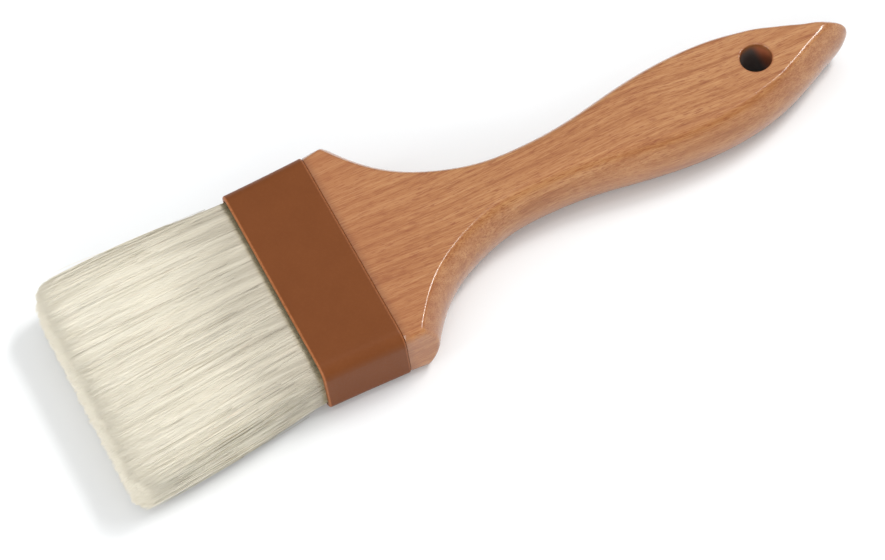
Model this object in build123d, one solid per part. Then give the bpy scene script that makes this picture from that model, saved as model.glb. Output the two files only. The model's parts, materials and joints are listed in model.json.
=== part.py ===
"""Flat brush with a hardwood handle, a moulded ferrule and natural bristle set in resin.

Millimetres. X runs along the brush, from the bristle tips to the handle's tip, Y runs across it
and Z is up. The brush lies flat: the origin is under the middle of its length, on the surface
that the ferrule rests on.
"""
import os
from math import cos, radians, sin, sqrt, tan

from build123d import *

# Ferrule: a tapered sleeve, open at both ends
FERRULE_WIDTH = 76.2
FERRULE_MOUTH_WIDTH = 74.6
FERRULE_THICKNESS = 23.0
FERRULE_LENGTH = 27.2
FERRULE_CORNER = 5.0
FERRULE_WALL = 1.5
FERRULE_EDGE = 0.6

# Handle: flat above and below, with sides that bulge between two edges
HANDLE_THICKNESS = 21.4
HANDLE_LENGTH = 171.0
SIDE_BULGE = 4.2
TIP_OVERHANG = 7.6
TIP_ROUNDING = 1.5
PLAN_LEVELS = (-1, -0.5, 0, 0.5, 1)  # shares of half the thickness
PLAN_STEPS = 26
OUTLINE = [  # distance behind the ferrule, half width at mid-height
    (7.0, 43.0),
    (13.0, 33.8),
    (23.5, 22.4),
    (37.0, 14.9),
    (48.5, 11.5),
    (60.0, 10.6),
    (76.0, 11.5),
    (95.0, 14.9),
    (114.0, 17.0),
    (132.0, 16.1),
    (147.0, 12.4),
    (158.5, 7.4),
]
HEAD_STEP = 0.6
HEAD_CORNER = 4.2
HEAD_EDGE = 0.4
TENON_LENGTH = 12.5
TENON_GLUE = 0.1
TENON_CHAMFER = 1.0
HOLE_RADIUS = 5.0
HOLE_FROM_FERRULE = 139.0
HOLE_EDGE = 0.4

# Bristle: two layers, one above the other, each gathered in tufts side by side
BRISTLE_LENGTH = 65.5
BRISTLE_INSET = 2.3
BRISTLE_CORNER = 2.4
STRAIGHT_LENGTH = 6.0
FLARE_SECTIONS = 4
TIP_HALF_WIDTH = 39.4
TIP_HALF_THICKNESS = 8.4
TRIM_CORNER = 7.0
TRIM_EDGE = 4.0
TUFTS_ACROSS = 17
TUFT_GAP = 0.3
BEND_LIMIT = 30.0
BEND_CLEARANCE = 0.35

# Inside the ferrule: the bristle's butts, the spacer between them and the resin round them all
RESIN_RECESS = 1.5
BUTTS_TO_TENON = 1.5
SPACER_THICKNESS = 4.0
SPACER_WIDTH = 64.0

# Places along the brush, and the height of its middle plane
TOTAL_LENGTH = BRISTLE_LENGTH + FERRULE_LENGTH + HANDLE_LENGTH
TIPS_X = -TOTAL_LENGTH / 2
MOUTH_X = TIPS_X + BRISTLE_LENGTH
FERRULE_END_X = MOUTH_X + FERRULE_LENGTH
HANDLE_TIP_X = FERRULE_END_X + HANDLE_LENGTH
TENON_END_X = FERRULE_END_X - TENON_LENGTH
BUTTS_END_X = TENON_END_X - BUTTS_TO_TENON
MIDDLE_Z = FERRULE_THICKNESS / 2

# The free bristle bends as one about an axis just outside the mouth. Its root is a half round
# on that axis, and the axis stands off far enough for the flat faces to clear the mouth's edge.
ROOT_RADIUS = MIDDLE_Z - BRISTLE_INSET
ROOT_WIDTH = FERRULE_MOUTH_WIDTH - 2 * BRISTLE_INSET
MOUTH_HALF_GAP = MIDDLE_Z - FERRULE_WALL - BEND_CLEARANCE
LIMIT = radians(BEND_LIMIT)
BEND_X = MOUTH_X - (ROOT_RADIUS / cos(LIMIT) - MOUTH_HALF_GAP) / tan(LIMIT)


def section(x, width, thickness, corner):
    """A rounded rectangle across the brush at x, centred on the middle plane."""
    plane = Plane(origin=(x, 0, MIDDLE_Z), x_dir=(0, 1, 0), z_dir=(1, 0, 0))
    return plane * RectangleRounded(width, thickness, corner)


def slab(x_low, x_high, z_low, z_high, width=2 * FERRULE_WIDTH):
    """A plain block between two places along the brush and two heights."""
    centre = Pos((x_low + x_high) / 2, 0, (z_low + z_high) / 2)
    return centre * Box(x_high - x_low, width, z_high - z_low)


def sleeve(inset):
    """The ferrule's tapered outer form, or the same form inset all round."""
    mouth_y = FERRULE_MOUTH_WIDTH / 2 - inset
    back_y = FERRULE_WIDTH / 2 - inset
    mouth = [(MOUTH_X, -mouth_y), (MOUTH_X, mouth_y)]
    back = [(FERRULE_END_X, back_y), (FERRULE_END_X, -back_y)]
    outline = make_face(Polyline(*mouth, *back, close=True))
    block = extrude(Pos(0, 0, inset) * outline, FERRULE_THICKNESS - 2 * inset)
    long_edges = [edge for edge in block.edges() if abs((edge % 0).X) > cos(radians(45))]
    return fillet(long_edges, FERRULE_CORNER - inset)


def make_ferrule():
    outer = sleeve(0)
    ends = outer.faces().sort_by(Axis.X)
    outer = fillet(ends[0].edges() + ends[-1].edges(), FERRULE_EDGE)
    return outer - sleeve(FERRULE_WALL)


def side_inset(height):
    """How far the bulging side has come in at a height above or below the middle plane."""
    half = HANDLE_THICKNESS / 2
    radius = (half**2 + SIDE_BULGE**2) / (2 * SIDE_BULGE)
    return radius - sqrt(radius**2 - height**2)


def plan(height):
    """The handle's outline in plan at a height above or below the middle plane."""
    inset = side_inset(height)
    tip_x = HANDLE_TIP_X - inset * TIP_OVERHANG / SIDE_BULGE
    shoulder_x = tip_x - TIP_ROUNDING / 2
    shoulder_y = TIP_ROUNDING * sqrt(3) / 2
    middle = Spline(*[(FERRULE_END_X + x, y) for x, y in OUTLINE])
    side = []
    for step in range(PLAN_STEPS + 1):
        share = step / PLAN_STEPS
        tangent = middle % share
        side.append(middle @ share + Vector(tangent.Y, -tangent.X) * inset)
    side += [Vector(shoulder_x, shoulder_y), Vector(tip_x, 0)]
    upper = Spline(*side, tangents=[middle % 0, (0, -1)])
    lower = mirror(upper, Plane.XZ)
    corner = Vector(FERRULE_END_X, side[0].Y)
    back = Polyline(upper @ 0, corner, (corner.X, -corner.Y), lower @ 0)
    return Pos(0, 0, MIDDLE_Z + height) * make_face([upper, lower, back])


def make_handle():
    half = HANDLE_THICKNESS / 2
    body = loft([plan(half * level) for level in PLAN_LEVELS])
    head = section(FERRULE_END_X, FERRULE_WIDTH - 2 * HEAD_STEP, HANDLE_THICKNESS, HEAD_CORNER)
    body = body & extrude(head, HANDLE_LENGTH)
    body = chamfer(body.faces().sort_by(Axis.X)[0].edges(), HEAD_EDGE)
    tenon = sleeve(FERRULE_WALL + TENON_GLUE) & slab(
        TENON_END_X, FERRULE_END_X, 0, FERRULE_THICKNESS
    )
    tenon = chamfer(tenon.faces().sort_by(Axis.X)[0].edges(), TENON_CHAMFER)
    hole = Pos(FERRULE_END_X + HOLE_FROM_FERRULE, 0, MIDDLE_Z)
    body = body + tenon - hole * Cylinder(HOLE_RADIUS, HANDLE_THICKNESS)
    rims = [e for e in body.edges().filter_by(GeomType.CIRCLE) if abs(e.radius - HOLE_RADIUS) < 0.01]
    return chamfer(rims, HOLE_EDGE)


def root_form(clearance, turn):
    """The bristle's round root, as its upper half section turned about the bend axis."""
    across = section(
        BEND_X,
        ROOT_WIDTH + 2 * clearance,
        2 * (ROOT_RADIUS + clearance),
        BRISTLE_CORNER + clearance,
    )
    upper = slab(BEND_X - 1, BEND_X + 1, MIDDLE_Z, FERRULE_THICKNESS)
    axis = Axis((BEND_X, 0, MIDDLE_Z), (0, 1, 0))
    return revolve(across & upper, axis, turn)


def flare_section(share):
    """The free pack's section at a share of its flare: wider, and thinner, towards the tips."""
    x = BEND_X - STRAIGHT_LENGTH + share * (TIPS_X - BEND_X + STRAIGHT_LENGTH)
    spread = sin(radians(90 * share))
    width = ROOT_WIDTH + spread * (2 * TIP_HALF_WIDTH - ROOT_WIDTH)
    thickness = 2 * (ROOT_RADIUS + share * (TIP_HALF_THICKNESS - ROOT_RADIUS))
    return section(x, width, thickness, BRISTLE_CORNER)


def free_bristle():
    """The whole free pack: straight at the mouth, flared, and trimmed round at the tips."""
    flare = [flare_section(step / (FLARE_SECTIONS - 1)) for step in range(FLARE_SECTIONS)]
    straight = section(BEND_X, ROOT_WIDTH, 2 * ROOT_RADIUS, BRISTLE_CORNER)
    pack = loft(flare) + extrude(straight, -STRAIGHT_LENGTH)
    length = 2 * BRISTLE_LENGTH
    middle = (TIPS_X + length / 2, 0, MIDDLE_Z)
    in_plan = Plane(middle) * RectangleRounded(length, 2 * TIP_HALF_WIDTH, TRIM_CORNER)
    in_side = Plane(middle, x_dir=(1, 0, 0), z_dir=(0, 1, 0)) * RectangleRounded(
        length, 2 * TIP_HALF_THICKNESS, TRIM_EDGE
    )
    trim = slab(TIPS_X + TRIM_CORNER, MOUTH_X, 0, FERRULE_THICKNESS)
    trim += extrude(in_plan, FERRULE_THICKNESS, both=True) & extrude(in_side, FERRULE_WIDTH, both=True)
    return pack & trim


def tuft_gaps():
    """Thin gaps that fan out from the mouth to the tips, one between each two tufts."""
    gaps = []
    root_x = BEND_X + 2 * ROOT_RADIUS
    for number in range(1, TUFTS_ACROSS):
        share = 2 * number / TUFTS_ACROSS - 1
        root_y = share * ROOT_WIDTH / 2
        tip_y = share * TIP_HALF_WIDTH
        half = TUFT_GAP / 2
        outline = Polyline(
            (root_x, root_y - half),
            (root_x, root_y + half),
            (BEND_X, root_y + half),
            (TIPS_X - 1, tip_y + half),
            (TIPS_X - 1, tip_y - half),
            (BEND_X, root_y - half),
            close=True,
        )
        gaps.append(extrude(make_face(outline), FERRULE_THICKNESS))
    return gaps


def make_layers():
    """The free bristle above and below the middle plane, each layer cut into tufts."""
    whole = free_bristle() + root_form(0, 180) - tuft_gaps()
    above = slab(TIPS_X - 1, FERRULE_END_X, MIDDLE_Z, FERRULE_THICKNESS)
    below = slab(TIPS_X - 1, FERRULE_END_X, 0, MIDDLE_Z)
    return whole & above, whole & below


def make_set_pieces():
    """What the resin holds, cut back to a round socket in which the bristle's root turns."""
    socket = root_form(BEND_CLEARANCE, 360)
    butts = extrude(section(BEND_X, ROOT_WIDTH, 2 * ROOT_RADIUS, BRISTLE_CORNER), BUTTS_END_X - BEND_X)
    half = SPACER_THICKNESS / 2
    upper_butts = butts & slab(BEND_X, BUTTS_END_X, MIDDLE_Z + half, FERRULE_THICKNESS)
    lower_butts = butts & slab(BEND_X, BUTTS_END_X, 0, MIDDLE_Z - half)
    spacer = slab(BEND_X, BUTTS_END_X, MIDDLE_Z - half, MIDDLE_Z + half, SPACER_WIDTH)
    inside = slab(MOUTH_X + RESIN_RECESS, TENON_END_X, 0, FERRULE_THICKNESS)
    resin = (sleeve(FERRULE_WALL) & inside) - upper_butts - lower_butts - spacer
    return upper_butts - socket, lower_butts - socket, spacer - socket, resin - socket


def main():
    upper_bristle, lower_bristle = make_layers()
    upper_butts, lower_butts, spacer, resin = make_set_pieces()
    nodes = {
        "handle": make_handle(),
        "ferrule": make_ferrule(),
        "setting_resin": resin,
        "spacer_strip": spacer,
        "upper_butts": upper_butts,
        "lower_butts": lower_butts,
        "upper_bristle": upper_bristle,
        "lower_bristle": lower_bristle,
    }
    os.makedirs("parts", exist_ok=True)
    for name, shape in nodes.items():
        export_step(shape, f"parts/{name}.step")


main()
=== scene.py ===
"""Looks of the flat brush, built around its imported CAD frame.

Metres, in the CAD's frame: X runs from the bristle tips to the handle's tip, Y across the brush
and Z up. Shapes are worked out in millimetres from the frame's own boxes and scaled at the end.
"""

import json
from math import cos, pi, radians, sin, sqrt

import bmesh
import bpy
import numpy as np
from mathutils import Matrix, Vector


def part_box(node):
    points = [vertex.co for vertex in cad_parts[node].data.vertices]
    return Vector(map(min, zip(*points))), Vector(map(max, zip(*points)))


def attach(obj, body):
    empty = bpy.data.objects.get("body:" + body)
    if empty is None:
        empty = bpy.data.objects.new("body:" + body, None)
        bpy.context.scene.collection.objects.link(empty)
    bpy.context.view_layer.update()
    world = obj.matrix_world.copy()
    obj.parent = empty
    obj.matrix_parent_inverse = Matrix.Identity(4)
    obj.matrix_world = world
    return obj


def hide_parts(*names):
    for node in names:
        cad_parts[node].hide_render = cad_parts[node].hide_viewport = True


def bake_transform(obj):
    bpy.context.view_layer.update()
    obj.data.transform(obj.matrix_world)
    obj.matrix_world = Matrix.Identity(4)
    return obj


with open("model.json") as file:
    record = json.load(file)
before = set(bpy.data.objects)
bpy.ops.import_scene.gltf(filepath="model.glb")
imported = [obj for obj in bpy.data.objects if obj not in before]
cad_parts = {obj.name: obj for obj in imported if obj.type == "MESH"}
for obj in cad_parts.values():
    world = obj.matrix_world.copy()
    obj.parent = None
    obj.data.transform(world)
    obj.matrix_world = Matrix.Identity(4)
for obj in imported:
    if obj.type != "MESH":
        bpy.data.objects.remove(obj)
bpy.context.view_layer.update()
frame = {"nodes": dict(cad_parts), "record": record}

MM = 0.001
SET_BODY = "handle_and_ferrule"


# ---------------------------------------------------------------- places read from the frame

def box_mm(node):
    low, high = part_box(node)
    return np.array(low) / MM, np.array(high) / MM


FERRULE_LOW, FERRULE_HIGH = box_mm("ferrule")
HANDLE_LOW, HANDLE_HIGH = box_mm("handle")
BRISTLE_LOW = box_mm("upper_bristle")[0]
RESIN_LOW, RESIN_HIGH = box_mm("setting_resin")
MOUTH_X = FERRULE_LOW[0]
FERRULE_END_X = FERRULE_HIGH[0]
FERRULE_LENGTH = FERRULE_END_X - MOUTH_X
FERRULE_WIDTH = 2 * FERRULE_HIGH[1]
FERRULE_HALF_THICKNESS = (FERRULE_HIGH[2] - FERRULE_LOW[2]) / 2
MIDDLE_Z = (FERRULE_HIGH[2] + FERRULE_LOW[2]) / 2
HANDLE_HALF_THICKNESS = (HANDLE_HIGH[2] - HANDLE_LOW[2]) / 2
HANDLE_LENGTH = HANDLE_HIGH[0] - FERRULE_END_X
TENON_LENGTH = FERRULE_END_X - HANDLE_LOW[0]
BRISTLE_LENGTH = MOUTH_X - BRISTLE_LOW[0]
HOLE = next(m for m in frame["record"]["mounts"] if m["name"] == "hanging_hole")
HOLE_X = HOLE["pos_m"][0] / MM
HOLE_RADIUS = HOLE["dims"]["r_mm"]


# ---------------------------------------------------------------- small numeric helpers

def smoothstep(low, high, x):
    t = np.clip((np.asarray(x, float) - low) / (high - low), 0, 1)
    return t * t * (3 - 2 * t)


def spline(points, end_tangent=None):
    """A natural cubic through points, by chord length, as a function from 0 to 1."""
    points = np.asarray(points, float)
    chord = np.linalg.norm(np.diff(points, axis=0), axis=1)
    at = np.concatenate([[0], np.cumsum(chord)])
    count = len(points)
    system = np.zeros((count, count))
    right = np.zeros_like(points)
    system[0, 0] = 1
    system[-1, -1] = 1
    for i in range(1, count - 1):
        system[i, i - 1:i + 2] = chord[i - 1], 2 * (chord[i - 1] + chord[i]), chord[i]
        slope_after = (points[i + 1] - points[i]) / chord[i]
        slope_before = (points[i] - points[i - 1]) / chord[i - 1]
        right[i] = 6 * (slope_after - slope_before)
    if end_tangent is not None:
        system[-1, -2:] = chord[-1], 2 * chord[-1]
        slope = (points[-1] - points[-2]) / chord[-1]
        right[-1] = 6 * (np.asarray(end_tangent, float) - slope)
    second = np.linalg.solve(system, right)

    def evaluate(share):
        distance = np.clip(np.asarray(share, float), 0, 1) * at[-1]
        i = np.clip(np.searchsorted(at, distance, side="right") - 1, 0, count - 2)
        h = chord[i][:, None]
        a = (at[i + 1] - distance)[:, None] / h
        b = 1 - a
        curve = ((a**3 - a) * second[i] + (b**3 - b) * second[i + 1]) * h**2 / 6
        return a * points[i] + b * points[i + 1] + curve

    return evaluate


def resample(path, shares):
    """The path's points at the given shares of its length."""
    steps = np.linalg.norm(np.diff(path, axis=0), axis=1)
    at = np.concatenate([[0], np.cumsum(steps)])
    wanted = shares * at[-1]
    return np.stack([np.interp(wanted, at, path[:, axis]) for axis in range(path.shape[1])], 1)


def rounded_rectangle(half_width, half_height, corner, per_corner, per_side, per_end):
    """A closed loop of (y, z) round a rectangle, starting after its upper right corner."""
    loop = []
    corners = ((1, 1, 0), (-1, 1, 90), (-1, -1, 180), (1, -1, 270))
    for number, (side, level, start) in enumerate(corners):
        centre = np.array([side * (half_width - corner), level * (half_height - corner)])
        for step in range(per_corner + 1):
            angle = radians(start + 90 * step / per_corner)
            loop.append(centre + corner * np.array([cos(angle), sin(angle)]))
        between = per_side if number % 2 == 0 else per_end
        turned = radians(start + 90)
        here = loop[-1]
        following = corners[(number + 1) % 4]
        there = np.array([
            following[0] * (half_width - corner),
            following[1] * (half_height - corner),
        ]) + corner * np.array([cos(turned), sin(turned)])
        for step in range(1, between + 1):
            loop.append(here + (there - here) * step / (between + 1))
    return np.array(loop)


# ---------------------------------------------------------------- mesh helpers

def new_object(name, vertices_mm, faces, material):
    """A smooth-shaded mesh object from vertices in millimetres."""
    mesh = bpy.data.meshes.new(name)
    mesh.from_pydata((np.asarray(vertices_mm) * MM).tolist(), [], faces)
    mesh.validate()
    mesh.polygons.foreach_set("use_smooth", [True] * len(mesh.polygons))
    mesh.materials.append(material)
    thing = bpy.data.objects.new(name, mesh)
    bpy.context.scene.collection.objects.link(thing)
    return thing


def tube_faces(rings, around):
    """Quads between rings of a closed loop."""
    i = np.arange(rings - 1)[:, None] * around
    j = np.arange(around)[None, :]
    k = (j + 1) % around
    quads = np.stack([i + j, i + k, i + around + k, i + around + j], -1)
    return quads.reshape(-1, 4).tolist()


def capped_tube_faces(rings, around):
    """The same with a flat cap at each end."""
    last = (rings - 1) * around
    caps = [list(range(around))[::-1], [last + i for i in range(around)]]
    return tube_faces(rings, around) + caps


def merge_close(thing, distance_mm):
    """Joins vertices that lie on each other and drops what has no area."""
    work = bmesh.new()
    work.from_mesh(thing.data)
    bmesh.ops.remove_doubles(work, verts=work.verts, dist=distance_mm * MM)
    bmesh.ops.dissolve_degenerate(work, edges=work.edges, dist=distance_mm * MM / 10)
    bmesh.ops.recalc_face_normals(work, faces=work.faces)
    work.to_mesh(thing.data)
    work.free()


def apply_modifiers(thing):
    """Makes the modified mesh the object's own."""
    evaluated = thing.evaluated_get(bpy.context.evaluated_depsgraph_get())
    mesh = bpy.data.meshes.new_from_object(evaluated)
    thing.modifiers.clear()
    thing.data = mesh


# ---------------------------------------------------------------- material helpers

class Shader:
    """A Principled material and short ways to add and join its nodes."""

    def __init__(self, name, **values):
        self.material = bpy.data.materials.new(name)
        self.material.use_nodes = True
        self.tree = self.material.node_tree
        self.bsdf = self.tree.nodes["Principled BSDF"]
        for key, value in values.items():
            self.bsdf.inputs[key.replace("_", " ")].default_value = value
        coordinates = self.tree.nodes.new("ShaderNodeTexCoord")
        self.place = self.scaled(coordinates.outputs["Object"], (1 / MM,) * 3)

    def add(self, kind, inputs=None, **settings):
        made = self.tree.nodes.new(kind)
        for key, value in settings.items():
            setattr(made, key, value)
        for key, value in (inputs or {}).items():
            self.feed(made.inputs[key], value)
        return made

    def feed(self, socket, value):
        if isinstance(value, bpy.types.NodeSocket):
            self.tree.links.new(value, socket)
        else:
            socket.default_value = value

    def scaled(self, vector, scale, offset=(0, 0, 0)):
        values = {"Vector": vector, "Scale": scale, "Location": offset}
        made = self.add("ShaderNodeMapping", values)
        return made.outputs["Vector"]

    def noise(self, vector, scale=1.0, detail=3.0, roughness=0.55):
        values = {
            "Vector": vector,
            "Scale": scale,
            "Detail": detail,
            "Roughness": roughness,
        }
        return self.add("ShaderNodeTexNoise", values).outputs["Fac"]

    def math(self, operation, a, b=0.0):
        return self.add("ShaderNodeMath", {0: a, 1: b}, operation=operation).outputs[0]

    def ranged(self, value, low, high, to_low=0.0, to_high=1.0):
        values = {
            "Value": value,
            "From Min": low,
            "From Max": high,
            "To Min": to_low,
            "To Max": to_high,
        }
        made = self.add("ShaderNodeMapRange", values, interpolation_type="SMOOTHSTEP")
        return made.outputs["Result"]

    def ramp(self, value, stops):
        made = self.add("ShaderNodeValToRGB", {"Fac": value})
        points = made.color_ramp.elements
        while len(points) < len(stops):
            points.new(0.5)
        for point, (position, colour) in zip(points, stops):
            point.position = position
            point.color = (*colour, 1)
        return made.outputs["Color"]

    def mix(self, factor, a, b):
        made = self.add("ShaderNodeMix", data_type="RGBA")
        self.feed(made.inputs[0], factor)
        for index, value in ((6, a), (7, b)):  # the node's two colour inputs
            self.feed(made.inputs[index], value if not isinstance(value, tuple) else (*value, 1))
        return made.outputs[2]

    def bump(self, height, strength, distance_mm):
        values = {"Height": height, "Strength": strength, "Distance": distance_mm * MM}
        made = self.add("ShaderNodeBump", values)
        self.tree.links.new(made.outputs["Normal"], self.bsdf.inputs["Normal"])

    def set(self, name, value):
        self.feed(self.bsdf.inputs[name], value)


# ---------------------------------------------------------------- materials

def grain_colour(s, bent, fine, fleck):
    """The wood's colour from its growth rings, its fine grain and its ray flecks."""
    rings = s.noise(s.scaled(bent, (0.012, 0.55, 0.4)), detail=5.0, roughness=0.62)
    broad = s.noise(s.scaled(s.place, (0.018, 0.05, 0.05)), detail=2.0)
    grain = s.math("ADD", s.math("MULTIPLY", rings, 0.6), s.math("MULTIPLY", fine, 0.4))
    colour = s.ramp(grain, [
        (0.38, (0.240, 0.076, 0.019)),
        (0.48, (0.338, 0.134, 0.041)),
        (0.60, (0.420, 0.199, 0.076)),
    ])
    colour = s.mix(s.ranged(fleck, 0.54, 0.66, 0.0, 0.75), colour, (0.215, 0.055, 0.013))
    colour = s.mix(s.ranged(fleck, 0.43, 0.32, 0.0, 0.35), colour, (0.50, 0.25, 0.10))
    return s.mix(s.ranged(broad, 0.35, 0.68, 0.0, 0.25), colour, (0.320, 0.115, 0.035))


def side_and_rim_colour(s, colour):
    """Redder towards the ferrule, dotted on the sides, and darkest right at the ferrule: partly
    painted shade.
    """
    along = s.add("ShaderNodeSeparateXYZ", {0: s.place}).outputs["X"]
    towards_ferrule = s.ranged(along, FERRULE_END_X + 45, FERRULE_END_X, 0.0, 0.25)
    colour = s.mix(towards_ferrule, colour, (0.330, 0.100, 0.028))
    speck = s.noise(s.scaled(s.place, (1.0, 1.9, 1.9)), detail=2.0, roughness=0.6)
    normal = s.add("ShaderNodeNewGeometry").outputs["Normal"]
    facing = s.add("ShaderNodeSeparateXYZ", {0: normal}).outputs["Z"]
    edgewise = s.ranged(s.math("ABSOLUTE", facing), 0.95, 0.35)
    dotted = s.math("MULTIPLY", s.ranged(speck, 0.50, 0.64, 0.0, 0.34), edgewise)
    colour = s.mix(dotted, colour, (0.27, 0.115, 0.030))
    # darkest right at the ferrule: partly painted shade in the gap, partly stain
    rim = s.ranged(along, FERRULE_END_X + 0.4, FERRULE_END_X + 3.0, 0.35, 0.0)
    return s.mix(rim, colour, (0.22, 0.075, 0.024))


def hole_colour(s, colour):
    """A dark rim round the hanging hole, and its wood inside painted with shade that deepens into
    it and with light only on the side by the tip.
    """
    axis_gap = s.add("ShaderNodeVectorMath", {
        0: s.place,
        1: (-HOLE_X, 0, -MIDDLE_Z),
    }, operation="ADD").outputs[0]
    parts = s.add("ShaderNodeSeparateXYZ", {0: axis_gap})
    flat_gap = s.add("ShaderNodeCombineXYZ", {"X": parts.outputs["X"], "Y": parts.outputs["Y"]})
    length = s.add("ShaderNodeVectorMath", {0: flat_gap.outputs[0]}, operation="LENGTH")
    from_axis = length.outputs["Value"]
    # painted shade: the bore darkens with depth below each face
    depth = s.ranged(s.math("ABSOLUTE", parts.outputs["Z"]), 10.4, 7.0)
    bore = s.math("MULTIPLY", s.ranged(from_axis, HOLE_RADIUS + 0.5, HOLE_RADIUS + 0.1), depth)
    hole_rim = s.ranged(from_axis, HOLE_RADIUS + 0.9, HOLE_RADIUS + 0.3, 0.0, 0.4)
    colour = s.mix(hole_rim, colour, (0.22, 0.06, 0.02))
    # painted light and shade: the bore's wall is painted lit on the side by the tip and shaded on
    # the other
    slanted = s.math("ADD", parts.outputs["X"], s.math("MULTIPLY", parts.outputs["Z"], 0.25))
    unlit = s.ranged(slanted, 5.4, 2.4)
    bore_light_and_shade = s.mix(unlit, (0.50, 0.155, 0.070), (0.132, 0.108, 0.098))
    return s.mix(bore, colour, bore_light_and_shade)


def beech_material():
    """Lacquered beech: fine lengthwise grain, short ray flecks and a darker rim at the ferrule."""
    s = Shader("lacquered_beech", Coat_Weight=0.8, Coat_Roughness=0.12, Specular_IOR_Level=0.2)
    sway = s.noise(s.scaled(s.place, (0.010, 0.012, 0.012)), detail=1.0)
    shift = s.add("ShaderNodeCombineXYZ", {
        "Y": s.math("MULTIPLY", sway, 20.0),
        "Z": s.math("MULTIPLY", sway, 6.0),
    })
    bent = s.add("ShaderNodeVectorMath", {
        0: s.place,
        1: shift.outputs[0],
    }, operation="ADD").outputs[0]
    fine = s.noise(s.scaled(bent, (0.09, 3.6, 2.9)), detail=4.0, roughness=0.7)
    fleck = s.noise(s.scaled(bent, (0.30, 3.4, 3.0)), detail=2.0, roughness=0.5)
    colour = grain_colour(s, bent, fine, fleck)
    colour = side_and_rim_colour(s, colour)
    s.set("Base Color", hole_colour(s, colour))
    s.set("Roughness", s.ranged(fine, 0.3, 0.7, 0.36, 0.48))
    s.bump(s.math("ADD", s.math("MULTIPLY", fine, 0.5), fleck), 0.25, 0.04)
    return s.material


def ferrule_material():
    """Moulded brown plastic with a faint flow mottle, and painted highlights along its lip and
    back edge.
    """
    s = Shader("moulded_brown", Roughness=0.42, Specular_IOR_Level=0.22)
    mottle = s.noise(s.scaled(s.place, (0.10, 0.10, 0.10)), detail=4.0)
    grainy = s.noise(s.scaled(s.place, (1.6, 1.6, 1.6)), detail=3.0)
    colour = s.ramp(mottle, [(0.35, (0.142, 0.037, 0.0045)), (0.65, (0.150, 0.040, 0.0055))])
    colour = s.mix(s.ranged(grainy, 0.45, 0.75, 0.0, 0.10), colour, (0.24, 0.075, 0.020))
    along = s.add("ShaderNodeSeparateXYZ", {0: s.place}).outputs["X"]
    # painted highlights: patchy lighter lines along the front lip and along the back edge
    highlight_breakup = s.ranged(grainy, 0.3, 0.6, 0.5, 1.0)
    lip = s.math("MULTIPLY", s.ranged(along, MOUTH_X + 0.8, MOUTH_X + 0.25), highlight_breakup)
    colour = s.mix(s.math("MULTIPLY", lip, 0.6), colour, (0.46, 0.165, 0.06))
    back = s.math("MULTIPLY", s.ranged(along, FERRULE_END_X - 0.8, FERRULE_END_X - 0.3), highlight_breakup)
    colour = s.mix(s.math("MULTIPLY", back, 0.6), colour, (0.36, 0.125, 0.045))
    s.set("Base Color", colour)
    s.set("Roughness", s.ranged(grainy, 0.3, 0.7, 0.38, 0.50))
    s.bump(grainy, 0.12, 0.03)
    return s.material


def resin_material():
    s = Shader("amber_resin", Roughness=0.3, Coat_Weight=0.2)
    cloudy = s.noise(s.scaled(s.place, (0.5, 0.5, 0.5)), detail=4.0)
    s.set("Base Color", s.ramp(cloudy, [
        (0.3, (0.085, 0.055, 0.018)),
        (0.7, (0.21, 0.15, 0.055)),
    ]))
    s.set("Roughness", s.ranged(cloudy, 0.3, 0.7, 0.25, 0.5))
    s.bump(cloudy, 0.4, 0.3)
    return s.material


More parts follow.
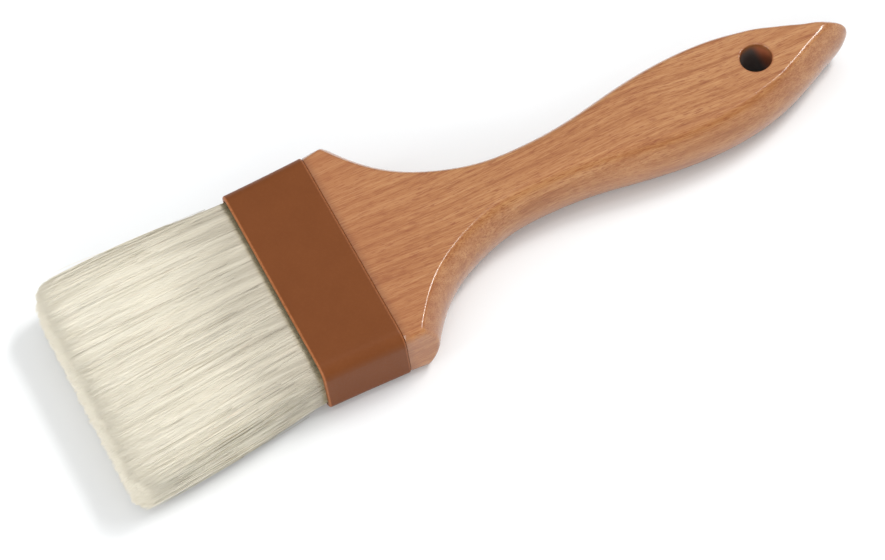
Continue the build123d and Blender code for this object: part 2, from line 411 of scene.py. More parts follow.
def bristle_material(name, tint=1.0):
    """Bleached bristle: lengthwise streaks, each strand its own tone, painted shade at the root.
    """
    def tinted(red, green, blue):
        return tint * red, tint * green, tint * blue

    s = Shader(name, Roughness=0.55)
    s.set("Sheen Weight", 0.15)
    streak = s.noise(s.scaled(s.place, (0.06, 2.6, 2.6)), detail=4.0, roughness=0.65)
    lock = s.noise(s.scaled(s.place, (0.012, 0.28, 0.28)), detail=2.0)
    strand = s.add("ShaderNodeAttribute", attribute_name="strand_shade").outputs["Fac"]
    shade = s.math("ADD", s.math("MULTIPLY", streak, 0.5), s.math("MULTIPLY", strand, 0.5))
    colour = s.ramp(shade, [
        (0.05, tinted(0.34, 0.295, 0.185)),
        (0.24, tinted(0.64, 0.575, 0.435)),
        (0.44, tinted(0.735, 0.683, 0.558)),
        (0.66, tinted(0.77, 0.73, 0.615)),
    ])
    colour = s.mix(s.ranged(lock, 0.35, 0.65, 0.0, 0.12), colour, tinted(0.65, 0.58, 0.44))
    # the darkest strands go dark olive: partly their own tone, partly painted shade for gaps
    # between locks and the core's grooves
    dark_strands_and_gap_shade = s.ranged(strand, 0.14, 0.0, 0.0, 0.7)
    colour = s.mix(dark_strands_and_gap_shade, colour, tinted(0.33, 0.29, 0.18))
    red = s.noise(s.scaled(s.place, (0.09, 2.6, 2.6), (40, 0, 0)), detail=1.0)
    colour = s.mix(s.ranged(red, 0.66, 0.76, 0.0, 0.35), colour, (0.66, 0.45, 0.32))
    along = s.add("ShaderNodeSeparateXYZ", {0: s.place}).outputs["X"]
    # paler towards the tips: partly the flagged tips' own colour, partly painted light for light
    # through the hair there
    paler_tips_and_painted_light = s.ranged(along, MOUTH_X - 30.0, MOUTH_X - 60.0, 0.0, 0.58)
    colour = s.mix(paler_tips_and_painted_light, colour, tinted(0.79, 0.745, 0.63))
    # painted shade: darker towards the root, patchy lock by lock, for the shade between locks near
    # the ferrule
    rootlock = s.noise(s.scaled(s.place, (0.03, 0.55, 0.55), (0, 60, 0)), detail=2.0)
    towards_root = s.ranged(along, MOUTH_X - 36.0, MOUTH_X, 0.0, 1.0)
    root = s.math("MULTIPLY", towards_root, s.ranged(rootlock, 0.35, 0.65, 0.55, 1.2))
    colour = s.mix(root, colour, (0.47, 0.425, 0.335))
    # painted shade: a dark olive band on the hair just under the ferrule's lip
    at_mouth = s.ranged(along, MOUTH_X - 2.4, MOUTH_X - 0.3, 0.0, 0.7)
    colour = s.mix(at_mouth, colour, (0.34, 0.285, 0.13))
    s.set("Base Color", colour)
    s.set("Roughness", s.ranged(streak, 0.3, 0.7, 0.45, 0.65))
    return s.material


def spacer_material():
    s = Shader("bare_softwood", Roughness=0.7)
    grain = s.noise(s.scaled(s.place, (0.8, 0.05, 0.8)), detail=4.0)
    s.set("Base Color", s.ramp(grain, [(0.35, (0.50, 0.33, 0.18)), (0.65, (0.68, 0.50, 0.31))]))
    s.bump(grain, 0.3, 0.1)
    return s.material


def floor_material():
    s = Shader("white_floor", Roughness=0.8)
    cloth = s.noise(s.scaled(s.place, (0.002, 0.002, 0.002)), detail=2.0)
    s.set("Base Color", s.ramp(cloth, [(0.3, (0.785, 0.795, 0.80)), (0.7, (0.80, 0.808, 0.81))]))
    return s.material


# ---------------------------------------------------------------- handle

OUTLINE = [  # distance behind the ferrule, half width at mid-height
    (7.0, 43.0),
    (13.0, 33.8),
    (23.5, 22.4),
    (37.0, 14.9),
    (48.5, 11.5),
    (60.0, 10.6),
    (76.0, 11.5),
    (95.0, 14.9),
    (114.0, 17.0),
    (132.0, 16.1),
    (147.0, 12.05),
    (155.0, 8.7),
    (163.0, 4.8),
]
SIDE_BULGE = 4.2
SIDE_BULGE_AT_TIP = 2.3
TIP_OVERHANG = 7.85
TIP_ROUNDING = 0.8
TIP_LEAN = 1.1
LEAN_START = 120.0
TIP_START = 145.0
CRISP_EDGE = 1.4
SOFT_EDGE = 3.2
GRIP_BEGINS = (34, 60)
GRIP_ENDS = (105, 132)
TIP_FLATTENS = (138, 165)
HEAD_HALF_WIDTH = 37.5
HEAD_CORNER_AT_FERRULE = 3.6
HEAD_CORNER_AT_RIDGE = 1.6
RIDGE_ROUNDING = 1.0
HEAD_RIM = 0.5
SIDE_ROWS = 9
EDGE_ROWS = 5
FLAT_COLUMNS = 10
PATH_STEPS = 26
BODY_STATIONS = 130
HEAD_STATIONS = 6
RIM_SHARE = 0.3  # of HEAD_RIM, the place of the ring between the rim and the head
RIM_REACH = 0.7  # how far that ring stands out from the rim towards the head
RIDGE_BLEND_LENGTH = 8.0
PATH_SAMPLES = 1500
HEAD_SAMPLES = 60
RIDGE_STEPS = 5
TOWARDS_TIP = 1.25  # above 1, the stations crowd towards the tip
TENON_WALL_GAP = 1.75
TENON_END_CHAMFER = 1.0
TENON_END_SHARES = (1, 0.975, 0.9)  # of the tenon's width and thickness, left at its chamfered end
TENON_CENTRE_SHARES = (1, 0.05, 0.05)  # the same for the small ring that closes the end
HOLE_FLARE = 0.55
HOLE_OVERCUT = 2.0
HOLE_AROUND = 96
HOLE_FLARE_STEPS = 6
CREASE_DEGREES = 38


def edge_radius(behind):
    """The rounding between the flats and the sides: soft along the grip, crisp at both ends."""
    grip = smoothstep(*GRIP_BEGINS, behind) * (1 - smoothstep(*GRIP_ENDS, behind))
    return CRISP_EDGE + (SOFT_EDGE - CRISP_EDGE) * grip


def side_bulge(behind):
    """How far the side stands out at mid-height: less towards the tip."""
    return SIDE_BULGE + (SIDE_BULGE_AT_TIP - SIDE_BULGE) * smoothstep(*TIP_FLATTENS, behind)


def side_profile(row, radius, depth):
    """(inset, height) of a row of the side, from mid-height at row 0 to the flat's edge."""
    half = HANDLE_HALF_THICKNESS
    bulge = (half**2 + depth**2) / (2 * depth)
    centre_z = half - radius
    reach = np.sqrt((bulge - radius)**2 - centre_z**2)
    turn = np.arctan2(centre_z, reach)
    if row <= SIDE_ROWS:
        angle = turn * row / SIDE_ROWS
        return bulge - bulge * np.cos(angle), bulge * np.sin(angle)
    angle = turn + (pi / 2 - turn) * (row - SIDE_ROWS) / EDGE_ROWS
    return bulge - reach - radius * np.cos(angle), centre_z + radius * np.sin(angle)


def head_half_width(behind, height):
    """Half width of the rounded head block."""
    blend = np.clip(behind / RIDGE_BLEND_LENGTH, 0, 1)
    corner = HEAD_CORNER_AT_FERRULE + (HEAD_CORNER_AT_RIDGE - HEAD_CORNER_AT_FERRULE) * blend
    past = np.clip(np.abs(height) - (HANDLE_HALF_THICKNESS - corner), 0, corner)
    return HEAD_HALF_WIDTH - corner + np.sqrt(corner**2 - past**2)


MIDDLE_PATH = spline(OUTLINE)


def side_points(row):
    """The points that a lengthwise row of the side passes through, out to the handle's tip."""
    shares = np.linspace(0, 1, PATH_STEPS + 1)
    at = MIDDLE_PATH(shares)
    ahead = MIDDLE_PATH(np.minimum(shares + 1e-4, 1)) - MIDDLE_PATH(np.maximum(shares - 1e-4, 0))
    ahead /= np.linalg.norm(ahead, axis=1)[:, None]
    inset, height = side_profile(row, edge_radius(at[:, 0]), side_bulge(at[:, 0]))
    points = np.stack([at[:, 0] + ahead[:, 1] * inset, at[:, 1] - ahead[:, 0] * inset, height], 1)
    tip_inset, tip_height = side_profile(row, np.array(CRISP_EDGE), SIDE_BULGE_AT_TIP)
    share_in = tip_inset / SIDE_BULGE_AT_TIP
    tip_x = HANDLE_LENGTH - share_in * TIP_OVERHANG
    last = np.argmax(at[:, 0] > TIP_START) - 1
    anchor = points[last]
    beyond = at[last + 1:]
    shares_on = (beyond[:, 0] - at[last, 0]) / (HANDLE_LENGTH - at[last, 0])
    towards_tip = np.stack([
        anchor[0] + shares_on * (tip_x - anchor[0]),
        beyond[:, 1] * anchor[1] / at[last, 1],
        np.full(len(beyond), tip_height),
    ], 1)
    rounding = TIP_ROUNDING * (1 - 0.4 * share_in)
    shoulder = (tip_x - rounding / 2, rounding * sqrt(3) / 2, tip_height)
    return np.vstack([points[:last + 1], towards_tip, shoulder, (tip_x, 0, tip_height)])


def side_row(row):
    """One lengthwise row of the side: points (behind, half width, height) at fixed stations.

    It runs straight along the head block, bends at the ridge and follows the outline from there.
    """
    path = spline(side_points(row), end_tangent=(0, -1, 0))(np.linspace(0, 1, PATH_SAMPLES))
    inside = path[:, 1] <= head_half_width(path[:, 0], path[:, 2])
    path = path[np.argmax(inside):]
    ridge = path[0]
    head_x = np.linspace(HEAD_RIM, ridge[0], HEAD_SAMPLES)
    head_y = head_half_width(head_x, ridge[2])
    head = np.stack([head_x, head_y, np.full(HEAD_SAMPLES, ridge[2])], 1)
    head[-1] = ridge
    after = np.linalg.norm(path - ridge, axis=1)
    path = path[after > RIDGE_ROUNDING]
    before = np.linalg.norm(head - ridge, axis=1)
    head = head[before > RIDGE_ROUNDING]
    blend = np.linspace(0, 1, RIDGE_STEPS + 2)[1:-1, None]
    bend = (1 - blend)**2 * head[-1] + 2 * blend * (1 - blend) * ridge + blend**2 * path[0]
    dense = 1 - (1 - np.linspace(0, 1, BODY_STATIONS))**TOWARDS_TIP
    even = np.linspace(0, 1, HEAD_STATIONS)
    return np.vstack([resample(head, even), bend, resample(path, dense)])


def handle_mesh():
    """The handle as rings along it, each a loop round both sides and across both flats."""
    rows = SIDE_ROWS + EDGE_ROWS
    upper = np.array([side_row(row) for row in range(rows, 0, -1)])
    middle = side_row(0)[None]
    lower = upper[::-1] * (1, 1, -1)
    right = np.concatenate([upper, middle, lower]).transpose(1, 0, 2)
    shares = np.linspace(1, -1, FLAT_COLUMNS + 2)[1:-1]
    rings = np.array([closed_ring(side, shares) for side in right])
    lean = np.clip((rings[..., 0] - LEAN_START) / (HANDLE_LENGTH - LEAN_START), 0, 1)
    rings[..., 1] += TIP_LEAN * lean**2
    return np.concatenate([tenon_rings(rings[0]), rings])


def tenon_rings(head):
    """The rings ahead of the head's first one: the tenon from its end, then the head's rim."""
    rim = head.copy()
    rim[:, 0] = 0
    rim[:, 1] *= (HEAD_HALF_WIDTH - HEAD_RIM) / HEAD_HALF_WIDTH
    rim[:, 2] *= (HANDLE_HALF_THICKNESS - HEAD_RIM) / HANDLE_HALF_THICKNESS
    half_rim = rim + (head - rim) * RIM_REACH
    half_rim[:, 0] = HEAD_RIM * RIM_SHARE
    tenon = rim.copy()
    tenon[:, 1] *= (FERRULE_WIDTH / 2 - TENON_WALL_GAP) / (HEAD_HALF_WIDTH - HEAD_RIM)
    tenon[:, 2] *= (FERRULE_HALF_THICKNESS - TENON_WALL_GAP) / (HANDLE_HALF_THICKNESS - HEAD_RIM)
    tenon_end = tenon.copy()
    tenon_end[:, 0] = TENON_END_CHAMFER - TENON_LENGTH
    tenon_tip = tenon_end * TENON_END_SHARES
    tenon_tip[:, 0] = -TENON_LENGTH
    centre = tenon_tip * TENON_CENTRE_SHARES
    return [centre, tenon_tip, tenon_end, tenon, rim, half_rim]


def closed_ring(side, shares):
    """A ring from its right side: down the right, across below, up the left, across above."""
    edge = side[0]
    foot = side[-1]
    count = len(shares)
    below = np.stack([np.full(count, foot[0]), foot[1] * shares, np.full(count, foot[2])], 1)
    above = np.stack([np.full(count, edge[0]), -edge[1] * shares, np.full(count, edge[2])], 1)
    left = side[::-1] * (1, -1, 1)
    return np.concatenate([side, below, left, above])


def make_handle():
    rings = handle_mesh()
    count, around, _ = rings.shape
    vertices = rings.reshape(-1, 3) + (FERRULE_END_X, 0, MIDDLE_Z)
    faces = tube_faces(count, around) + [list(range(around))]
    handle = new_object("handle_wood", vertices, faces, beech_material())
    merge_close(handle, 0.004)
    cutter = hole_cutter()
    cut = handle.modifiers.new("hanging_hole", "BOOLEAN")
    cut.operation = "DIFFERENCE"
    cut.solver = "EXACT"
    cut.object = cutter
    apply_modifiers(handle)
    bpy.data.objects.remove(cutter)
    handle.data.polygons.foreach_set("use_smooth", [True] * len(handle.data.polygons))
    handle.data.set_sharp_from_angle(angle=radians(CREASE_DEGREES))
    weighted = handle.modifiers.new("even_shading", "WEIGHTED_NORMAL")
    weighted.keep_sharp = True
    weighted.weight = 60
    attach(handle, SET_BODY)
    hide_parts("handle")


def hole_cutter():
    """A turned cutter with flared ends, for a hole with broken edges."""
    half = HANDLE_HALF_THICKNESS
    heights, radii = [-half - HOLE_OVERCUT], [HOLE_RADIUS + HOLE_FLARE + HOLE_OVERCUT]
    for step in range(HOLE_FLARE_STEPS + 1):
        angle = pi / 2 * step / HOLE_FLARE_STEPS
        heights.append(-half + HOLE_FLARE * (1 - cos(angle)) - 0.02)
        radii.append(HOLE_RADIUS + HOLE_FLARE * (1 - sin(angle)))
    heights += [-h for h in reversed(heights)]
    radii += list(reversed(radii))
    around = HOLE_AROUND
    angles = np.arange(around) * 2 * pi / around
    rings = [
        np.stack([r * np.cos(angles), r * np.sin(angles), np.full(around, h)], 1)
        for h, r in zip(heights, radii)
    ]
    vertices = np.concatenate(rings) + (HOLE_X, 0, MIDDLE_Z)
    faces = capped_tube_faces(len(rings), around)
    return new_object("cutter", vertices, faces, None)


# ---------------------------------------------------------------- ferrule and resin

FERRULE_CORNER = 5.0
FERRULE_WALL = 1.5
FERRULE_TAPER = 0.8
FERRULE_STATIONS = 12
FERRULE_CORNER_STEPS = 10
FERRULE_SIDE_POINTS = 24
FERRULE_END_POINTS = 5
FERRULE_CREASE_DEGREES = 50
DRAWN_IN = 0.10  # how far the flat faces come in at the middle of the ferrule's length
LIP_ROUNDING = 0.7
LIP_STEPS = 5
RESIN_SEED = 11
RESIN_GAP = 1.55  # from the ferrule's outer face to the resin's sides
MENISCUS = [  # inset from the ferrule's outer face, depth behind the resin's face
    (4.2, 0.9),
    (2.9, 0.5),
    (2.3, 0.2),
    (1.9, 0.0),
    (1.65, -0.35),
    (1.5, -0.7),
]


def ferrule_ring(along, inset):
    """A loop round the ferrule at a share of its length, inset from its outer face."""
    half_width = FERRULE_WIDTH / 2 - FERRULE_TAPER * (1 - along) - inset
    half_height = FERRULE_HALF_THICKNESS - inset
    loop = rounded_rectangle(
        half_width, half_height, FERRULE_CORNER - inset,
        FERRULE_CORNER_STEPS, FERRULE_SIDE_POINTS, FERRULE_END_POINTS,
    )
    x = np.full(len(loop), MOUTH_X + along * FERRULE_LENGTH)
    return np.column_stack([x, loop[:, 0], loop[:, 1] + MIDDLE_Z])


def make_ferrule():
    """A tapered sleeve with rounded lips, its flat faces very slightly drawn in between them."""
    lip = LIP_ROUNDING / FERRULE_LENGTH
    front = []
    for step in range(LIP_STEPS + 1):
        angle = pi / 2 * step / LIP_STEPS
        front.append((lip * (1 - cos(angle)), LIP_ROUNDING * (1 - sin(angle))))
    shares = np.linspace(lip * 2, 1 - lip * 2, FERRULE_STATIONS)
    body = [(share, DRAWN_IN * sin(pi * share)) for share in shares]
    back = [(1 - share, inset) for share, inset in reversed(front)]
    inner = [
        (1, FERRULE_WALL - 0.1),
        (1 - lip / 2, FERRULE_WALL),
        (0.5, FERRULE_WALL),
        (lip / 2, FERRULE_WALL),
        (0, FERRULE_WALL - 0.15),
    ]
    loops = [ferrule_ring(*place) for place in front + body + back + inner]
    loops.append(loops[0])
    faces = tube_faces(len(loops), len(loops[0]))
    ferrule = new_object("ferrule_shell", np.concatenate(loops), faces, ferrule_material())
    merge_close(ferrule, 0.002)
    ferrule.data.set_sharp_from_angle(angle=radians(FERRULE_CREASE_DEGREES))
    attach(ferrule, SET_BODY)
    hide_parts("ferrule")


def make_resin():
    """The resin round the bristle: a block whose face rises to the wall in a meniscus."""
    rng = np.random.default_rng(RESIN_SEED)
    loops = []
    recess = RESIN_LOW[0] - MOUTH_X
    for inset, depth in MENISCUS:
        loop = ferrule_ring(0, inset)
        loop[:, 0] = MOUTH_X + recess * 0.75 + depth + rng.normal(0, 0.05, len(loop))
        loops.append(loop)
    for x in (MOUTH_X + 5, RESIN_HIGH[0] - 0.3, RESIN_HIGH[0]):
        loop = ferrule_ring(0, RESIN_GAP)
        loop[:, 0] = x
        loops.append(loop)
    faces = capped_tube_faces(len(loops), len(loops[0]))
    resin = new_object("resin_fill", np.concatenate(loops), faces, resin_material())
    merge_close(resin, 0.002)
    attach(resin, SET_BODY)
    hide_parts("setting_resin")


# ---------------------------------------------------------------- bristle

ROOT_HALF_WIDTH = 35.6
ROOT_HALF_THICKNESS = 9.5
TIP_HALF_WIDTH = 40.0
TIP_HALF_THICKNESS = 8.2
TIP_SHIFT_Y = -2.6
TIP_SAG = 0.9
FAR_CORNER = 8.5
NEAR_CORNER = 6.5
CORNER_IN_SIDE = 2.2
CLUMP_PITCH = 4.2
CLUMP_SLOTS = 100
MIDDLE_SLOT = 40
CLUMP_LEAN = 0.0015  # these and the next three are shares of the pack's half width or thickness
CLUMP_GATHER = 0.012
STRAND_SHIFT = 0.010
STRAND_WAVE = 0.0035
STRAND_LIFT = 0.010
SCALLOP = 0.02
LATE_BEND = 1.6  # the power by which a strand's lean and lift grow along it
STRAND_THINNING = 0.7  # how much of its radius a strand loses
THINNING_POWER = 12  # high, so that the loss comes close to the tip
LENGTH_SPREAD = 1.25
FACE_PIECES = 2
FACE_STRANDS = 3700  # in each piece
SIDE_STRANDS = 2400
TIP_STRANDS = 6500
STRAYS = 240
ROOT_SHARE = -0.05  # where strands start, inside the mouth, as a share of the free length
UPPER_SEED = 21
LOWER_SEED = 22
CORE_SHORT = 2.2
CORE_STATIONS = 46
CORE_AROUND = 520
CORE_ROOT_SHARE = -0.06
CORE_HALF_WIDTH = 0.965
CORE_TOP = 0.9
CORE_FOOT = 0.02
CORE_MIDDLE = 0.46
CORE_END_HEIGHT = 0.96
CORE_END_THINNING = 0.04
CORE_THINS_FROM = 0.90  # as a share of the core's length
RIB_HEIGHT = 0.022  # this and the next are shares of the pack's half thickness
RIB_DEPTH = 0.03
RIB_DRIFT = 0.4  # how much each rib takes on its neighbour's height along the core
CORE_END_RINGS = (0.97, 0.93, 0.87, 0.78, 0.66, 0.5, 0.32, 0.12)


def flare(t):
    """How far the pack has spread at a share of its free length."""
    return np.sin(np.clip(t, 0, 1) * pi / 2)


def trim(across, up):
    """How much shorter a strand is cut towards the pack's corners; both from -1 to 1."""
    corner = np.where(across > 0, FAR_CORNER, NEAR_CORNER)
    side = np.clip(np.abs(across) * TIP_HALF_WIDTH - (TIP_HALF_WIDTH - corner), 0, None)
    flat = TIP_HALF_THICKNESS - CORNER_IN_SIDE
    face = np.clip(np.abs(up) * TIP_HALF_THICKNESS - flat, 0, None)
    side = corner - np.sqrt(np.clip(corner**2 - side**2, 0.2, None))
    face = CORNER_IN_SIDE - np.sqrt(np.clip(CORNER_IN_SIDE**2 - face**2, 0.2, None))
    return side + face + unevenness(across, up)


def unevenness(across, up):
    """How much shorter or longer the locks are cut than the rest, from a few crossing waves."""
    wide = 0.27 * np.sin(31 * across + 2.1 * np.sin(7 * up))
    fine = 0.22 * np.sin(57 * across + 11 * up) + 0.18 * np.sin(83 * across - 17 * up)
    return wide + fine


def pack_point(t, across, up):
    """A point of the pack: t along the free length, across and up from -1 to 1 of its section."""
    spread = flare(t)
    half_width = ROOT_HALF_WIDTH + (TIP_HALF_WIDTH - ROOT_HALF_WIDTH) * spread
    thinning = TIP_HALF_THICKNESS - ROOT_HALF_THICKNESS
    half_thickness = ROOT_HALF_THICKNESS + thinning * t
    x = MOUTH_X - t * BRISTLE_LENGTH
    y = across * half_width + TIP_SHIFT_Y * np.clip(t, 0, None)
    z = MIDDLE_Z + up * half_thickness - TIP_SAG * np.clip(t, 0, None) ** 2
    return np.stack([x, y, z], -1)


def squared(across, up, power=9.0):
    """Draws a point of the square section in to its rounded corners."""
    norm = (np.abs(across)**power + np.abs(up)**power) ** (1 / power)
    largest = np.maximum(np.abs(across), np.abs(up))
    pull = np.where(largest > 0, largest / np.maximum(norm, 1e-6), 1)
    return across * pull, up * pull


def clump_shift(rng, across):
    """A sideways lean shared by the strands of a lock, and a bit of each strand's own."""
    cells = np.floor(across * ROOT_HALF_WIDTH / CLUMP_PITCH + MIDDLE_SLOT).astype(int)
    lean = rng.normal(0, CLUMP_LEAN, CLUMP_SLOTS)[cells]
    centre = (cells + 0.5 - MIDDLE_SLOT) * CLUMP_PITCH / ROOT_HALF_WIDTH
    gather = rng.uniform(0.0, CLUMP_GATHER, CLUMP_SLOTS)[cells]
    return lean + (centre - across) * gather + rng.normal(0, STRAND_SHIFT, len(across))


def strand_faces(count, segments):
    """The sides, tips and roots of many three-sided stems, all with the same segments."""
    i = np.arange(segments)[:, None] * 3
    j = np.arange(3)[None, :]
    k = (j + 1) % 3
    quads = np.stack([i + j, i + k, i + 3 + k, i + 3 + j], -1).reshape(-1, 4)
    first = np.arange(count)[:, None] * (segments + 1) * 3
    sides = (quads[None] + first[:, None]).reshape(-1, 4).tolist()
    tips = (first + segments * 3 + np.arange(3)).tolist()
    roots = (first + np.array([[2, 1, 0]])).tolist()
    return sides + tips + roots


def build_strands(
    name, rng, across, up, start, radius, segments, material,
    wild=1.0, uneven=0.10, banded=0.0,
):
    """A piece of many strands, each a thin three-sided stem that narrows to its tip.

    A strand stands at across and up in the pack's section, and runs from start to its own
    trimmed length. wild is how far strands stray, uneven how much their shades differ one by
    one, and banded how much they differ in bands up the side, where the darker ones are
    painted shade for the gaps between locks.
    """
    count = len(across)
    spread = np.abs(rng.normal(0, LENGTH_SPREAD, count)) - LENGTH_SPREAD
    lengths = 1 - (trim(across, up) + spread) / BRISTLE_LENGTH
    start = np.broadcast_to(start, count)
    along = np.linspace(0, 1, segments + 1)
    t = start[:, None] + (lengths - start)[:, None] * along[None, :]
    late = np.clip(t, 0, None) ** LATE_BEND
    clear_of_root = np.clip(t * 4, 0, 1)
    shift = clump_shift(rng, across)
    wave = rng.normal(0, STRAND_WAVE * wild, (count, 1)) * np.sin(
        t * rng.uniform(3, 9, (count, 1)) + rng.uniform(0, 6.3, (count, 1))
    )
    lift = rng.normal(0, STRAND_LIFT * wild, (count, 1)) * late
    a = across[:, None] + shift[:, None] * late + wave * clear_of_root
    u = up[:, None] + lift + wave * 2 * clear_of_root
    centre = pack_point(t, a, u)
    narrowing = 1 - STRAND_THINNING * along ** THINNING_POWER
    thick = radius * rng.uniform(0.7, 1.25, count)[:, None] * narrowing[None, :]
    turn = rng.uniform(0, 2 * pi, count)[:, None, None] + np.arange(3)[None, None, :] * 2 * pi / 3
    ring = np.stack([np.zeros_like(turn), np.cos(turn), np.sin(turn)], -1)
    ring = ring * thick[:, :, None, None]
    vertices = (centre[:, :, None, :] + ring).reshape(-1, 3)
    piece = new_object(name, vertices, strand_faces(count, segments), material)
    # painted shade: darker stripes up the side stand for the shaded gaps between locks
    bands = banded * (np.sin(44 * up + 2 * across) + 0.6 * np.sin(71 * up + 1))
    shade = np.clip(rng.normal(0.5, uneven, count) + bands, 0, 1)
    finish_bristle(piece, np.repeat(shade, (segments + 1) * 3))


def finish_bristle(piece, shade):
    """Stores each vertex's shade and moves the piece's placement into its mesh."""
    layer = piece.data.attributes.new("strand_shade", "FLOAT", "POINT")
    layer.data.foreach_set("value", shade.astype(np.float32))
    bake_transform(piece)


def make_core(name, rng, level, material, node):
    """The inside of one layer: a solid lock of hair, ribbed, that ends short of the tips."""
    stations = np.linspace(CORE_ROOT_SHARE, 1, CORE_STATIONS)
    count = CORE_AROUND
    turned = np.linspace(0, 1, count, endpoint=False)
    top = turned < 0.5
    across = np.where(top, 1 - 4 * turned, -1 + 4 * (turned - 0.5))
    across, height = squared(across * CORE_HALF_WIDTH, np.where(top, CORE_TOP, CORE_FOOT))
    rib = rng.normal(0, 1, count)
    rib = (rib + np.roll(rib, 1)) * 0.5
    reach = 1 - (trim(across, height) + CORE_SHORT) / BRISTLE_LENGTH
    rings = []
    for t in stations:
        drift = np.roll(rib, 1) * (t - 0.5) * RIB_DRIFT + rib
        u = level * np.clip(height + np.where(top, drift * RIB_HEIGHT - RIB_DEPTH, 0), 0.01, 1)
        near_end = 1 - CORE_END_THINNING * smoothstep(CORE_THINS_FROM, 1, t)
        place = t * reach if t > 0 else np.full(count, t)
        rings.append(pack_point(place, across, u * near_end))
    for share in CORE_END_RINGS:
        a = across * share
        u = CORE_MIDDLE + (height - CORE_MIDDLE) * share
        reach = 1 - (trim(a, u) + CORE_SHORT) / BRISTLE_LENGTH
        rings.append(pack_point(reach, a, level * u * CORE_END_HEIGHT))
    faces = capped_tube_faces(len(rings), count)
    core = new_object(name, np.concatenate(rings), faces, material)
    # painted shade: the core's tone is set low, and lower in its grooves, where it shows between
    # strands
    finish_bristle(core, np.tile(np.clip(0.30 + rib * 0.12, 0, 1), len(rings)))
    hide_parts(node)


def scallop(across):
    """How far the roots stand in from the pack's face between locks."""
    return SCALLOP * np.abs(np.sin(pi * across * ROOT_HALF_WIDTH / CLUMP_PITCH))


def make_layer(name, level, seed, material, core_material):
    """One layer of bristle: its core, the long strands over its face and sides, and its tips.

    The layer takes the place of the CAD node of the same name. level is 1 above, -1 below.
    """
    rng = np.random.default_rng(seed)
    make_core(f"{name}_core", rng, level, core_material, name)
    for part in range(1, FACE_PIECES + 1):
        across = rng.uniform(-1, 1, FACE_STRANDS)
        up = 1 - 0.05 * rng.uniform(0, 1, FACE_STRANDS) - scallop(across)
        across, up = squared(across, up)
        build_strands(
            f"{name}_face_strands_{part}", rng, across, up * level,
            start=ROOT_SHARE, radius=0.10, segments=8, material=material,
        )
    side = rng.choice([-1.0, 1.0], SIDE_STRANDS)
    up = rng.uniform(0.0, 0.95, SIDE_STRANDS)
    across = side * (1 - rng.uniform(0, 0.03, SIDE_STRANDS))
    across, up = squared(across, up)
    build_strands(
        f"{name}_side_strands", rng, across, up * level,
        start=ROOT_SHARE, radius=0.11, segments=8, material=material,
        wild=1.6, uneven=0.34, banded=0.26,
    )
    make_strays(name, rng, level, material)
    across = rng.uniform(-0.985, 0.985, TIP_STRANDS)
    up = rng.uniform(0.0, 0.99, TIP_STRANDS)
    across, up = squared(across, up)
    start = rng.uniform(0.62, 0.84, TIP_STRANDS)
    build_strands(
        f"{name}_tip_strands", rng, across, up * level,
        start=start, radius=0.14, segments=4, material=material,
        wild=1.6, uneven=0.12,
    )


def make_strays(name, rng, level, material):
    """Single hairs that lie a little askew over the face and the sides of a layer."""
    across = rng.uniform(-0.99, 0.99, STRAYS)
    up = rng.uniform(0.97, 1.005, STRAYS)
    sideways = rng.random(STRAYS) < 0.25
    edge = np.sign(across) * rng.uniform(0.97, 0.995, STRAYS)
    across = np.where(sideways, edge, across)
    up = np.where(sideways, rng.uniform(0.1, 0.9, STRAYS), up)
    start = rng.uniform(0.03, 0.5, STRAYS)
    build_strands(
        f"{name}_stray_strands", rng, across, up * level,
        start=start, radius=0.085, segments=10, material=material,
        wild=3.0, uneven=0.25,
    )


def make_bristle():
    strands = bristle_material("bleached_bristle")
    # the core's copy is darker: painted shade for the hair deep in the pack
    core = bristle_material("bristle_core", 0.9)
    make_layer("upper_bristle", 1, UPPER_SEED, strands, core)
    make_layer("lower_bristle", -1, LOWER_SEED, strands, core)


def finish_hidden_nodes():
    """Procedural materials for the CAD nodes that stay, inside the ferrule."""
    butts = bristle_material("set_butts", 0.6)
    spacer = spacer_material()
    kept = {"upper_butts": butts, "lower_butts": butts, "spacer_strip": spacer}
    for name, material in kept.items():
        mesh = frame["nodes"][name].data
        mesh.materials.clear()
        mesh.materials.append(material)


# ---------------------------------------------------------------- camera, floor and light

CAMERA_AZIMUTH = -17.35  # degrees
CAMERA_ELEVATION = 59.04
CAMERA_ROLL = -10.16
CAMERA_DISTANCE = 1500.5
CAMERA_TARGET = (-16.16, -11.5, 0.0)
CAMERA_LENS = 198.4
CAMERA_CLIP_END = 20  # metres
FLOOR_HALF_SIZE = 6000
TENT_COLOUR = (0.98, 0.99, 1.0, 1)
TENT = [  # height of a direction, brightness of the tent there
    (0.09, 0.80),
    (0.14, 0.24),
    (0.75, 0.91),
]
LIGHTS = [  # name, place and size in metres, power in watts
    ("key", (1.10, 0.16, 1.66), 0.36, 12),
    ("key_near", (0.98, -0.22, 1.72), 0.3, 5),
    ("key_far", (1.26, 0.42, 1.50), 0.3, 5),
    ("tip_fill", (-1.7, 0.0, 0.45), 0.8, 12),
    ("near_fill", (-0.95, -1.55, 0.85), 1.0, 15),
]


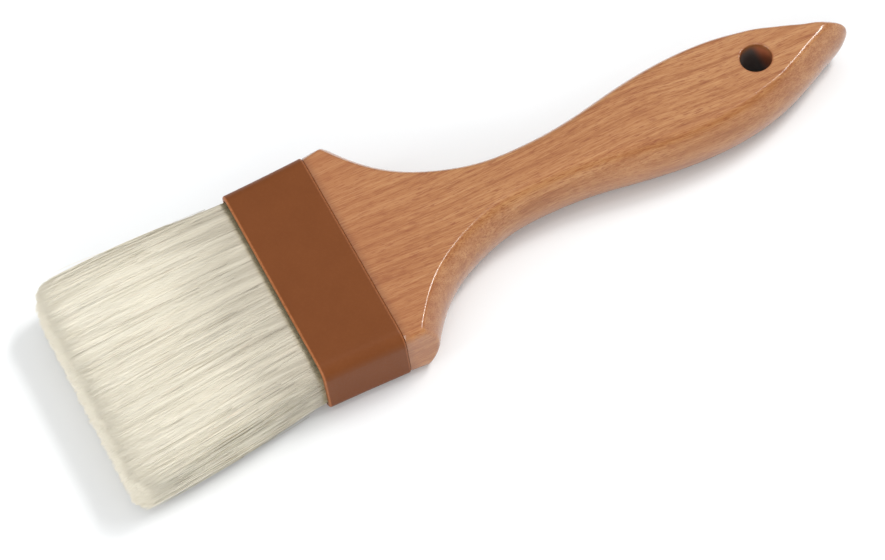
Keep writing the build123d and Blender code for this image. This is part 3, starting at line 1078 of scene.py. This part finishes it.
def make_camera():
    azimuth, elevation = radians(CAMERA_AZIMUTH), radians(CAMERA_ELEVATION)
    roll = radians(CAMERA_ROLL)
    back = Vector((sin(azimuth) * cos(elevation), -cos(azimuth) * cos(elevation), sin(elevation)))
    level = Vector((cos(azimuth), sin(azimuth), 0))
    up = back.cross(level)
    right = level * cos(roll) + up * sin(roll)
    over = up * cos(roll) - level * sin(roll)
    camera = bpy.data.objects.new("camera", bpy.data.cameras.new("camera"))
    camera.data.lens = CAMERA_LENS
    camera.data.clip_end = CAMERA_CLIP_END
    place = (Vector(CAMERA_TARGET) + back * CAMERA_DISTANCE) * MM
    turn = Matrix((right, over, back)).transposed().to_4x4()
    camera.matrix_world = Matrix.Translation(place) @ turn
    bpy.context.scene.collection.objects.link(camera)
    bpy.context.scene.camera = camera


def make_floor():
    size = FLOOR_HALF_SIZE
    corners = [(-size, -size, 0), (size, -size, 0), (size, size, 0), (-size, size, 0)]
    floor = new_object("floor", corners, [[0, 1, 2, 3]], floor_material())


def area_light(name, place, size, power):
    """A square light at a place, in metres, that faces the brush."""
    light = bpy.data.objects.new(name, bpy.data.lights.new(name, "AREA"))
    light.data.shape = "SQUARE"
    light.data.size = size
    light.data.energy = power
    light.location = place
    light.rotation_mode = "QUATERNION"
    light.rotation_quaternion = Vector(place).to_track_quat("Z", "Y")
    bpy.context.scene.collection.objects.link(light)


def make_light():
    """A white tent, darkest just above the horizon, and soft square lights."""
    world = bpy.data.worlds.new("white_tent")
    world.use_nodes = True
    background = world.node_tree.nodes["Background"]
    nodes, links = world.node_tree.nodes, world.node_tree.links
    direction = nodes.new("ShaderNodeTexCoord")
    split = nodes.new("ShaderNodeSeparateXYZ")
    links.new(direction.outputs["Generated"], split.inputs[0])
    fade = nodes.new("ShaderNodeValToRGB")
    points = fade.color_ramp.elements
    while len(points) < len(TENT):
        points.new(0.5)
    for point, (height, strength) in zip(points, TENT):
        point.position = height
        point.color = (strength, strength, strength, 1)
    links.new(split.outputs["Z"], fade.inputs["Fac"])
    links.new(fade.outputs["Color"], background.inputs["Strength"])
    background.inputs["Color"].default_value = TENT_COLOUR
    bpy.context.scene.world = world
    for light in LIGHTS:
        area_light(*light)
    bpy.context.scene.view_settings.view_transform = "Standard"


make_camera()
make_floor()
make_light()
make_handle()
make_ferrule()
make_resin()
make_bristle()
finish_hidden_nodes()
